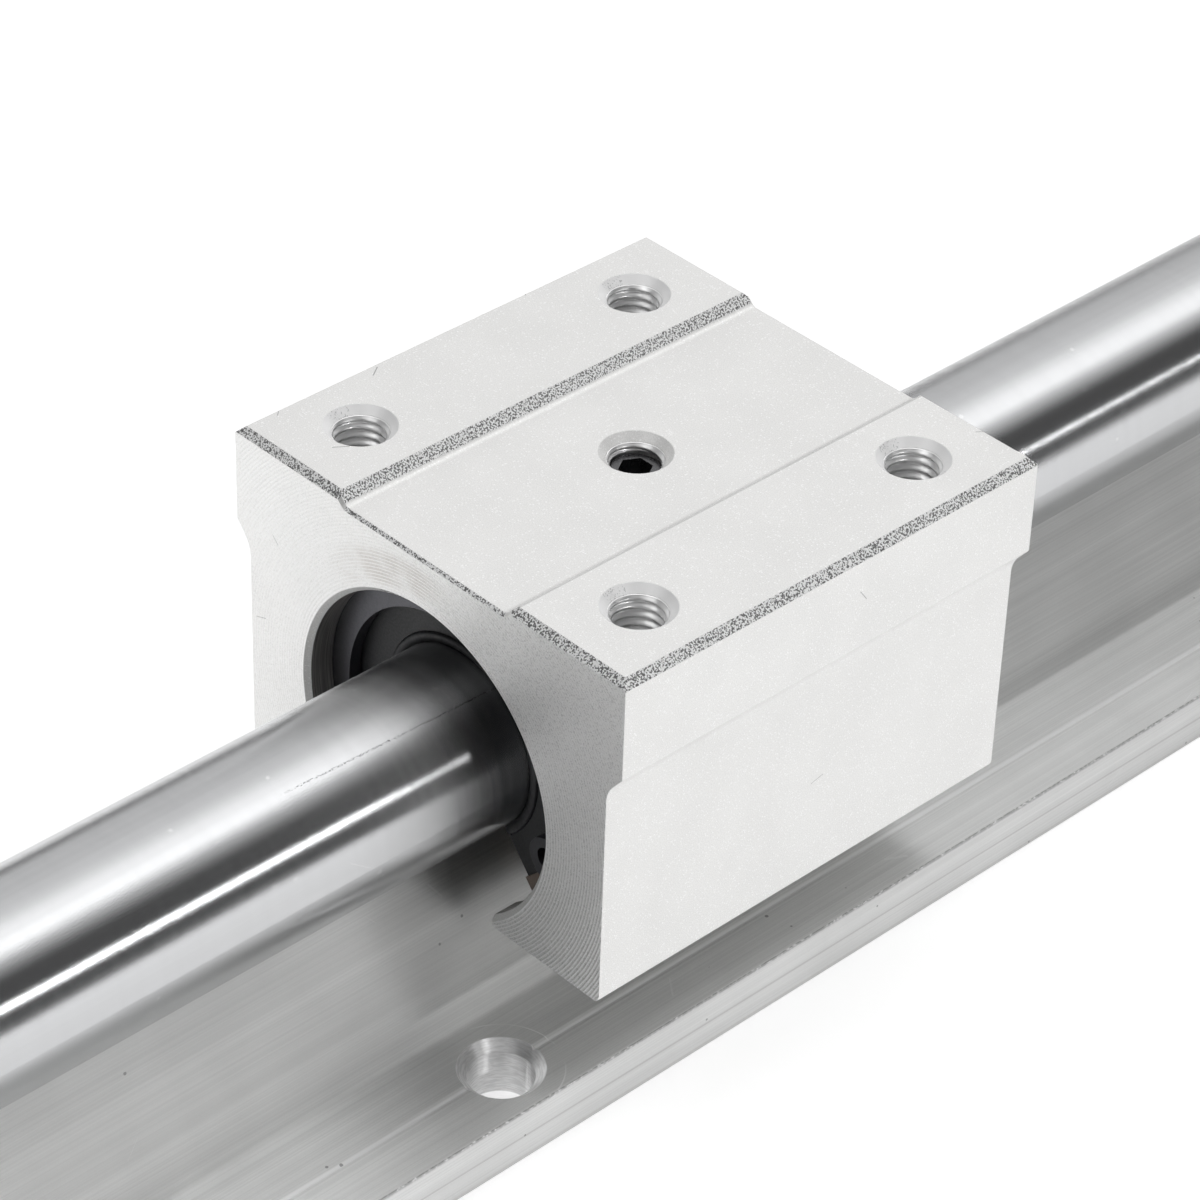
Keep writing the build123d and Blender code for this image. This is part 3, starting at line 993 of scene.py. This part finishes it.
@dataclass(frozen=True)
class GroundSteel:
    """Shaft: ground and polished, with very fine marks round it, and one broken scratch along it."""

    name: str = "ground_steel"
    tint: Colour = (0.588, 0.593, 0.602, 1.0)
    roughness: Ramp = (NOISE_LOW, 0.75, 0.2139, 0.2461)
    blur_share: float = 1.0
    grinding: Vector3 = (0.02, 1.0, 0.01)
    mark_width: float = 0.08 * MM
    mark_stretch: Vector3 = (0.03, 1.0, 0.03)
    mark_depth: float = 0.0035 * MM
    grain_size: float = 0.12 * MM
    grain_share: float = 1.8
    track_width: float = 0.3 * MM
    track_stretch: Vector3 = (1.0, 0.004, 1.0)
    track: Ramp = (0.35, NOISE_HIGH, 0.0, 0.06)
    track_tone: float = 0.4
    end_spread: float = 0.4
    ring_pitch: float = 0.35 * MM
    ring: Ramp = (0.1, 0.45, 0.0, 0.45)
    ring_tone: float = 0.3
    # The scratch: degrees round the shaft at its middle, and degrees gained in a metre.
    scratch_angle: float = 62.5
    scratch_slope: float = -190.0
    scratch_strip: Strip = (0.0, 0.4, 0.5)
    scratch_middle: float = -76.0 * MM
    scratch_length: Strip = (0.0, 9.0 * MM, 3 * MM)
    scratch_breaks: Ramp = (0.5, 0.58, 0.0, 1.0)
    scratch_share: float = 0.75
    scratch_tone: float = 0.1
    hair_spacing: float = 5 * MM
    hair_cells: float = 0.22
    hair_length: float = 1.1 * MM
    hair_share: float = 0.2
    dust_size: float = 0.7 * MM
    dust_cells: float = 0.004
    dust_share: float = 0.25
    pale_tone: float = 0.9

    def material(self, effects: SurfaceEffects) -> bpy.types.Material:
        """Build the material.

        Args:
            effects: shared node groups.

        Returns:
            The material.
        """
        coat = Coat(self.name, effects)
        marks = coat.lines(self.mark_stretch, self.mark_width)
        tracks = coat.lines(self.track_stretch, self.track_width)
        grain = coat.grain(self.grain_size).outputs["Fine"]
        rings = coat.rings(self.ring_pitch)
        ends = coat.facing(Direction.ALONG, self.end_spread).outputs["Mask"]
        hairs = coat.scratches(self.hair_spacing, self.hair_cells, self.hair_length)
        dust = coat.flecks(self.dust_size, self.dust_cells)

        colour = coat.spread(self.tint, coat.remap(tracks.outputs["Fine"], *self.track), self.track_tone)
        turned = coat.product(coat.remap(rings.outputs["Height"], *self.ring), ends)
        colour = coat.spread(colour, turned, self.ring_tone)
        scratch = coat.product(self._scratch(coat, grain), self.scratch_share)
        colour = coat.spread(colour, scratch, self.scratch_tone)
        colour = coat.spread(colour, coat.product(hairs, self.hair_share), self.pale_tone)
        colour = coat.spread(colour, coat.product(dust, self.dust_share), self.pale_tone)
        coat.paint(colour, 1.0, coat.remap(marks.outputs["Broad"], *self.roughness))

        along = coat.node("CombineXYZ")
        for target, share in zip(along.inputs, self.grinding):
            target.default_value = share
        coat.stretch_gloss(along.outputs[0], self.blur_share)
        ground = coat.math("ADD", marks.outputs["Fine"], coat.product(grain, self.grain_share))
        coat.relief(ground, self.mark_depth)
        return coat.material

    def _scratch(self, coat: Coat, grain: Socket) -> Socket:
        """Find the one long scratch, which the grain breaks up.

        Args:
            coat: material in the making.
            grain: fine noise.

        Returns:
            Mask, 1 in the scratch.
        """
        x, y, height = coat.axes()
        rise = coat.math("SUBTRACT", height, SHAFT_Z)
        angle = coat.math("DEGREES", coat.math("ARCTAN2", rise, x))
        past = coat.math("SUBTRACT", y, self.scratch_middle)
        line = coat.math("ADD", coat.product(past, self.scratch_slope), self.scratch_angle)
        strip = coat.band(coat.math("SUBTRACT", angle, line), *self.scratch_strip)
        broken = coat.remap(grain, *self.scratch_breaks)
        return coat.product(strip, coat.band(past, *self.scratch_length), broken)


@dataclass(frozen=True)
class PlainMetal:
    """Small metal pieces: a tone, a roughness, a fine grain and brighter edges, partly real wear and partly
    a painted edge highlight.
    """

    name: str
    tint: Colour
    roughness: float
    roughness_shares: tuple[float, float] = (0.85, 1.2)
    grain_size: float = 0.15 * MM
    grain_depth: float = 0.003 * MM
    cloud_size: float = 3 * MM
    cloud: Ramp = (NOISE_LOW, NOISE_HIGH, 0.0, 0.25)
    cloud_share: float = 0.7
    edge_round: float = 0.08 * MM
    # Rubbed edges, partly real wear and partly a painted edge highlight: their tone and share.
    edge_rub_and_highlight_tone: float = 0.5
    rubbed_and_highlight: float = 0.5

    def material(self, effects: SurfaceEffects) -> bpy.types.Material:
        """Build the material.

        Args:
            effects: shared node groups.

        Returns:
            The material.
        """
        coat = Coat(self.name, effects)
        skin = coat.grain(self.grain_size, self.cloud_size)
        shade = coat.remap(skin.outputs["Cloud"], *self.cloud)
        body = coat.blend(shade, self.tint, darker(self.tint, self.cloud_share))
        rounded = None
        if self.rubbed_and_highlight:
            rounded_edges = coat.edge_rounding(self.edge_round)
            # Rubbed edges, partly real wear and partly a painted edge highlight.
            body = coat.spread(body, coat.product(rounded_edges.outputs["Mask"], self.rubbed_and_highlight), self.edge_rub_and_highlight_tone)
            rounded = rounded_edges.outputs["Normal"]
        coat.paint(body, 1.0, coat.vary(skin.outputs["Fine"], self.roughness, self.roughness_shares))
        coat.relief(skin.outputs["Fine"], self.grain_depth, rounded)
        return coat.material


@dataclass(frozen=True)
class MouldedPolymer:
    """Seals and cage: dark, slightly mottled and matte."""

    name: str
    tint: Colour
    roughness: float = 0.55
    roughness_shares: tuple[float, float] = (0.85, 1.15)
    grain_size: float = 0.2 * MM
    grain_depth: float = 0.008 * MM
    cloud_size: float = 4 * MM
    cloud: Ramp = (NOISE_LOW, NOISE_HIGH, 0.0, 0.4)
    cloud_share: float = 0.6
    dust_size: float = 0.5 * MM
    dust_cells: float = 0.01
    dust_share: float = 0.3
    dust_tone: float = 0.4

    def material(self, effects: SurfaceEffects) -> bpy.types.Material:
        """Build the material.

        Args:
            effects: shared node groups.

        Returns:
            The material.
        """
        coat = Coat(self.name, effects)
        skin = coat.grain(self.grain_size, self.cloud_size)
        dust = coat.flecks(self.dust_size, self.dust_cells)
        shade = coat.remap(skin.outputs["Cloud"], *self.cloud)
        body = coat.blend(shade, self.tint, darker(self.tint, self.cloud_share))
        body = coat.spread(body, coat.product(dust, self.dust_share), self.dust_tone)
        coat.paint(body, 0.0, coat.vary(skin.outputs["Fine"], self.roughness, self.roughness_shares))
        coat.relief(skin.outputs["Fine"], self.grain_depth)
        return coat.material


Finish = DrawnAluminium | BlastedAluminium | GroundSteel | PlainMetal | MouldedPolymer


def new_piece(
    name: str, points: list[Vector], faces: list[tuple[int, ...]], material: bpy.types.Material, smooth: bool
) -> bpy.types.Object:
    """Make a mesh object.

    Args:
        name: the object's name.
        points: corners in the frame, in metres.
        faces: corner numbers of each face.
        material: its finish.
        smooth: shade it smooth.

    Returns:
        The object, linked to the scene.
    """
    mesh = bpy.data.meshes.new(name)
    mesh.from_pydata(points, [], faces)
    mesh.materials.append(material)
    mesh.polygons.foreach_set("use_smooth", [smooth] * len(mesh.polygons))
    mesh.update()
    piece = bpy.data.objects.new(name, mesh)
    bpy.context.scene.collection.objects.link(piece)
    return piece


def tube_faces(rings: int, around: int, closed_tube: bool = True) -> list[tuple[int, ...]]:
    """List the faces between rings of points.

    Args:
        rings: number of rings.
        around: points in each ring.
        closed_tube: join the last ring to the first.

    Returns:
        Corner numbers of each face.
    """
    last = rings if closed_tube else rings - 1
    faces = []
    for ring in range(last):
        above = ring * around
        below = ((ring + 1) % rings) * around
        for step in range(around):
            after = (step + 1) % around
            faces.append((above + step, above + after, below + after, below + step))
    return faces


@dataclass
class TappedThread:
    """Thread cut into one hole of the block, from its countersink down."""

    name: str
    x: float
    y: float
    mouth: float
    depth: float
    wall_radius: float = 2.4 * MM
    crest_radius: float = 2.06 * MM
    rim_radius: float = 3.05 * MM
    pitch: float = 0.8 * MM
    # How far the first row lies below the countersink's foot.
    first_drop: float = 0.012 * MM
    # How far inside the drilled wall the shell's back and the thread's root lie.
    back_inset: float = 0.006 * MM
    root_inset: float = 0.03 * MM
    # Shares of the rise from root to crest: the flat at the root, and the flank.
    root_flat: float = 0.12
    flank: float = 0.74
    rows_per_turn: int = 12
    around: int = 64

    def radius(self, down: float, turn: float) -> float:
        """Give the free radius of the hole.

        Args:
            down: depth below the mouth.
            turn: place round the hole, from 0 to 1.

        Returns:
            Distance from the hole's axis to the metal.
        """
        root = self.wall_radius - self.root_inset
        phase = (down / self.pitch + turn) % 1.0
        rise = 1.0 - abs(2.0 * phase - 1.0)
        ridge = min(1.0, max(0.0, (rise - self.root_flat) / self.flank))
        cone = min(root, self.rim_radius - down)
        return max(root - (root - self.crest_radius) * ridge, cone)

    def point(self, radius: float, turn: float, down: float) -> Vector:
        """Place a corner of the wall.

        Args:
            radius: distance from the hole's axis.
            turn: place round the hole, from 0 to 1.
            down: depth below the mouth.

        Returns:
            The corner, in the frame.
        """
        angle = 2 * math.pi * turn
        across, along = radius * math.cos(angle), radius * math.sin(angle)
        return Vector((self.x + across, self.y + along, self.mouth - down))

    def build(self, material: bpy.types.Material) -> bpy.types.Object:
        """Build the threaded wall as a closed shell.

        Args:
            material: finish of the cut metal.

        Returns:
            The piece, riding on the carriage.
        """
        top = self.rim_radius - self.wall_radius + self.first_drop
        rows = max(2, round((self.depth - top) / self.pitch * self.rows_per_turn))
        turns = [step / self.around for step in range(self.around)]
        points = []
        for row in range(rows + 1):
            down = top + (self.depth - top) * row / rows
            points += [self.point(self.radius(down, turn), turn, down) for turn in turns]
        for down in (self.depth, top):
            points += [self.point(self.wall_radius - self.back_inset, turn, down) for turn in turns]
        rings = len(points) // self.around
        piece = new_piece(self.name, points, tube_faces(rings, self.around), material, True)
        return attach(piece, Body.CARRIAGE.value)


@dataclass
class SealLip:
    """Raised lip of an end plate, which wipes the shaft."""

    name: str
    face_y: float
    outward: float
    inner_radius: float = 8.08 * MM
    outer_radius: float = 8.95 * MM
    height: float = 0.28 * MM
    # How far the ridge's flat top reaches out and in from the lip's middle.
    ridge_out: float = 0.25 * MM
    ridge_in: float = 0.05 * MM
    # Share of the lip's height that stands at its inner edge, against the shaft.
    wiper_share: float = 0.35
    opening: float = math.radians(84.0)
    steps: int = 96

    def section(self) -> tuple[tuple[float, float], ...]:
        """List the corners of the lip's section.

        Returns:
            Radius and rise above the end plate, from the outer corner to the inner one.
        """
        middle = (self.inner_radius + self.outer_radius) / 2
        return (
            (self.outer_radius, 0.0),
            (middle + self.ridge_out, self.height),
            (middle - self.ridge_in, self.height),
            (self.inner_radius, self.height * self.wiper_share),
            (self.inner_radius, 0.0),
        )

    def build(self, material: bpy.types.Material) -> bpy.types.Object:
        """Sweep the lip's section round the shaft, open below.

        Args:
            material: finish of the seal.

        Returns:
            The piece, riding on the carriage.
        """
        section = self.section()
        points = []
        for step in range(self.steps + 1):
            angle = -math.pi / 2 + self.opening / 2 + (2 * math.pi - self.opening) * step / self.steps
            for radius, rise in section:
                x, z = radius * math.cos(angle), SHAFT_Z + radius * math.sin(angle)
                points.append(Vector((x, self.face_y + self.outward * rise, z)))
        count = len(section)
        faces = tube_faces(self.steps + 1, count, closed_tube=False)
        faces.append(tuple(range(count)))
        faces.append(tuple(self.steps * count + corner for corner in reversed(range(count))))
        piece = new_piece(self.name, points, faces, material, True)
        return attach(piece, Body.CARRIAGE.value)


@dataclass
class TappedHoles:
    """The four mounting holes in the block's top, and the set screw's hole between them."""

    spacing_across: float = 32 * MM
    spacing_along: float = 30 * MM
    tap_depth: float = 11.9 * MM
    recess_depth: float = 1.0 * MM
    set_screw_depth: float = 1.45 * MM

    def threads(self, cut_metal: bpy.types.Material) -> list[bpy.types.Object]:
        """Cut the threads of the four mounting holes and of the middle one.

        Args:
            cut_metal: finish of the threads.

        Returns:
            The pieces.
        """
        made = []
        for row, along in (("front", -1), ("rear", 1)):
            for column, across in (("left", -1), ("right", 1)):
                thread = TappedThread(
                    name=f"thread_{row}_{column}",
                    x=across * self.spacing_across / 2,
                    y=BLOCK_Y + along * self.spacing_along / 2,
                    mouth=BLOCK_HIGH.z,
                    depth=self.tap_depth,
                )
                made.append(thread.build(cut_metal))
        middle = TappedThread(
            name="thread_middle",
            x=0.0,
            y=BLOCK_Y,
            mouth=BLOCK_HIGH.z - self.recess_depth,
            depth=self.set_screw_depth,
        )
        made.append(middle.build(cut_metal))
        return made


@dataclass(frozen=True)
class SoftBox:
    """A long soft light beside the shaft, placed by its angle in degrees round the shaft's axis."""

    name: str
    angle: float
    half_width: float
    fade: float
    level: float


@dataclass(frozen=True)
class Lamp:
    """Soft lamp, set out from the shaft's axis below the block's front face."""

    name: str
    offset: Vector3
    size: tuple[float, float]
    power: float

    def hang(self) -> None:
        """Place the lamp so that it shines square to the shaft's axis, its second size along the shaft."""
        data = bpy.data.lights.new(self.name, "AREA")
        data.shape = "ELLIPSE"
        data.size, data.size_y = self.size
        data.energy = self.power
        lamp = bpy.data.objects.new(self.name, data)
        offset = Vector(self.offset)
        place = Vector((0.0, BLOCK_LOW.y, SHAFT_Z)) + offset
        ahead = Vector((offset.x, 0.0, offset.z)).normalized()
        turn = Matrix(((-ahead.z, 0.0, ahead.x), (0.0, 1.0, 0.0), (ahead.x, 0.0, ahead.z)))
        lamp.matrix_world = Matrix.Translation(place) @ turn.to_4x4()
        lamp.visible_camera = False
        bpy.context.scene.collection.objects.link(lamp)
        log.info("%s hung", self.name)


@dataclass
class Studio:
    """Floor, lights and background."""

    lights: tuple[SoftBox, ...] = (
        SoftBox("overhead", angle=82.0, half_width=6.0, fade=30.0, level=0.83),
        SoftBox("left wall", angle=122.0, half_width=42.0, fade=12.0, level=0.7),
        SoftBox("left high", angle=114.0, half_width=6.0, fade=18.0, level=0.16),
    )
    lamps: tuple[Lamp, ...] = (
        Lamp("right lamp", offset=(0.507, 0.03, 0.215), size=(0.022, 0.022), power=0.3),
        Lamp("right rear lamp", offset=(0.507, 0.26, 0.215), size=(0.022, 0.36), power=0.23),
        Lamp("front lamp", offset=(-0.05, -0.36, 0.5), size=(0.4, 0.4), power=0.48),
        Lamp("upper right lamp", offset=(0.105, 0.12, 0.42), size=(0.16, 0.16), power=0.03),
    )
    ambient: float = 0.11
    # Share of the surrounding light by its direction along the shaft: most of it is off in front.
    front_share: Ramp = (-0.6, -0.12, 0.12, 1.0)
    floor_tone: float = 0.8
    floor_fill: float = 0.5
    floor_half_width: float = 0.6

    def floor(self) -> None:
        """Lay a pale floor under the rail."""
        half = self.floor_half_width
        corners = [Vector((x * half, y * half, 0.0)) for x, y in ((-1, -1), (1, -1), (1, 1), (-1, 1))]
        coat = Coat("studio_floor")
        coat.paint(grey(self.floor_tone), 0.0, 1.0)
        coat.shader.inputs["Specular IOR Level"].default_value = 0.0
        coat.shader.inputs["Emission Color"].default_value = grey(1.0)
        fill = coat.product(self._shown(coat), self.floor_fill)
        coat.feed(coat.shader.inputs["Emission Strength"], fill)
        floor = new_piece("studio_floor", corners, [(0, 1, 2, 3)], coat.material, False)

    @staticmethod
    def _shown(w: Wiring) -> Socket:
        """Test what kind of ray sees the surface.

        Args:
            w: wiring of its material.

        Returns:
            1 for rays from the camera and for reflections and refractions, 0 for the rest.
        """
        path = w.node("LightPath")
        seen = w.math("MAXIMUM", path.outputs["Is Camera Ray"], path.outputs["Is Glossy Ray"])
        return w.math("MAXIMUM", seen, path.outputs["Is Transmission Ray"])

    def world(self) -> None:
        """Surround the object with long soft lights, and show white to the camera."""
        world = bpy.data.worlds.new("studio")
        bpy.context.scene.world = world
        world.use_nodes = True
        w = Wiring(world.node_tree)
        background = next(n for n in w.tree.nodes if n.type == "BACKGROUND")
        split = w.node("SeparateXYZ")
        w.feed(split.inputs[0], w.node("TexCoord").outputs["Generated"])
        degrees = w.math("DEGREES", w.math("ARCTAN2", split.outputs["Z"], split.outputs["X"]))
        level: Feed = self.ambient
        for light in self.lights:
            off = w.math("ABSOLUTE", w.math("SUBTRACT", degrees, light.angle))
            edge = light.half_width + light.fade
            level = w.math("ADD", level, w.remap(off, light.half_width, edge, light.level, 0.0))
            log.info("%s light set", light.name)
        level = w.product(level, w.remap(split.outputs["Y"], *self.front_share))
        shown = w.math("MAXIMUM", level, w.node("LightPath").outputs["Is Camera Ray"])
        w.feed(background.inputs["Strength"], shown)
        background.inputs["Color"].default_value = grey(1.0)


@dataclass
class ViewPoint:
    """The photograph's viewpoint, fitted to the block's corners, holes and edges."""

    azimuth: float = math.radians(45.573)
    elevation: float = math.radians(36.244)
    roll: float = math.radians(2.042)
    distance: float = 361.46 * MM
    aim_across: float = -5.933 * MM
    aim_along: float = 2.394 * MM
    # The lens and the sensor's width are in millimetres.
    lens: float = 130.78
    sensor_width: float = 36.0
    nearest: float = 10 * MM

    def place(self) -> None:
        """Make the camera and set it as the scene's own."""
        aim = Vector((self.aim_across, BLOCK_Y + self.aim_along, SHAFT_Z))
        level = math.cos(self.elevation)
        ahead = math.cos(self.azimuth) * level
        back = Vector((math.sin(self.azimuth) * level, -ahead, math.sin(self.elevation)))
        level_right = Vector((0, 0, 1)).cross(back).normalized()
        level_up = back.cross(level_right)
        right = math.cos(self.roll) * level_right + math.sin(self.roll) * level_up
        turn = Matrix((right, back.cross(right), back)).transposed()
        data = bpy.data.cameras.new("camera")
        data.sensor_width = self.sensor_width
        data.lens = self.lens
        data.clip_start = self.nearest
        camera = bpy.data.objects.new("camera", data)
        camera.matrix_world = Matrix.Translation(aim + back * self.distance) @ turn.to_4x4()
        bpy.context.scene.collection.objects.link(camera)
        bpy.context.scene.camera = camera


BLACK_STEEL = PlainMetal("black_steel", tint=(0.15, 0.15, 0.155, 1.0), roughness=0.3, edge_rub_and_highlight_tone=0.4)
SLEEVE_STEEL = PlainMetal("sleeve_steel", tint=(0.26, 0.21, 0.18, 1.0), roughness=0.4, rubbed_and_highlight=0.8)
RING_STEEL = PlainMetal("ring_steel", tint=(0.11, 0.11, 0.12, 1.0), roughness=0.42, edge_rub_and_highlight_tone=0.3)
BALL_STEEL = PlainMetal("ball_steel", tint=grey(0.6), roughness=0.08, grain_depth=0.0002 * MM)
CUT_ALUMINIUM = PlainMetal(
    "cut_aluminium",
    tint=grey(0.92),
    roughness=0.36,
    grain_size=0.5 * MM,
    grain_depth=0.0005 * MM,
    rubbed_and_highlight=0.0,
)
SEAL_RUBBER = MouldedPolymer("seal_rubber", tint=(0.045, 0.046, 0.05, 1.0))
CAGE_PLASTIC = MouldedPolymer("cage_plastic", tint=(0.03, 0.03, 0.033, 1.0), roughness=0.45)

NODE_FINISHES: dict[str, Finish] = {
    "support_rail": DrawnAluminium(),
    "shaft": GroundSteel(),
    "shaft_screw_1": BLACK_STEEL,
    "shaft_screw_2": BLACK_STEEL,
    "bearing_block": BlastedAluminium(),
    "bushing_sleeve": SLEEVE_STEEL,
    "ball_cage": CAGE_PLASTIC,
    "bearing_balls": BALL_STEEL,
    "end_seal_front": SEAL_RUBBER,
    "end_seal_rear": SEAL_RUBBER,
    "retaining_ring_front": RING_STEEL,
    "retaining_ring_rear": RING_STEEL,
    "set_screw": BLACK_STEEL,
}


def light_stage() -> None:
    """Set up the floor, the lights and the camera."""
    bpy.context.scene.view_settings.view_transform = "Standard"
    studio = Studio()
    studio.floor()
    studio.world()
    for lamp in studio.lamps:
        lamp.hang()
    ViewPoint().place()


def dress_nodes(effects: SurfaceEffects) -> dict[Finish, bpy.types.Material]:
    """Give every CAD node its finish.

    Args:
        effects: shared node groups.

    Returns:
        The material built for each finish.
    """
    built: dict[Finish, bpy.types.Material] = {}
    for node, finish in NODE_FINISHES.items():
        if finish not in built:
            built[finish] = finish.material(effects)
        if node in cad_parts:
            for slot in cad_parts[node].material_slots:
                slot.material = built[finish]
            log.info("%s has finish %s", node, finish.name)
    return built


def cut_threads(cut_metal: bpy.types.Material) -> None:
    """Cut the threads of the block's tapped holes.

    Args:
        cut_metal: finish of the threads.
    """
    for piece in TappedHoles().threads(cut_metal):
        log.info("%s has %d faces", piece.name, len(piece.data.polygons))


def fit_seal_lips(rubber: bpy.types.Material) -> None:
    """Fit a lip to the outer face of each end seal.

    Args:
        rubber: finish of the lips.
    """
    for end, outward in (("front", -1.0), ("rear", 1.0)):
        low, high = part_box(f"end_seal_{end}")
        lip = SealLip(f"seal_lip_{end}", low.y if outward < 0 else high.y, outward)
        piece = lip.build(rubber)
        log.info("%s has %d faces", piece.name, len(piece.data.polygons))


def main() -> None:
    """Build the stage, dress every piece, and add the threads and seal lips."""
    light_stage()
    effects = SurfaceEffects()
    built = dress_nodes(effects)
    cut_threads(CUT_ALUMINIUM.material(effects))
    fit_seal_lips(built[SEAL_RUBBER])


if __name__ == "__main__":
    main()
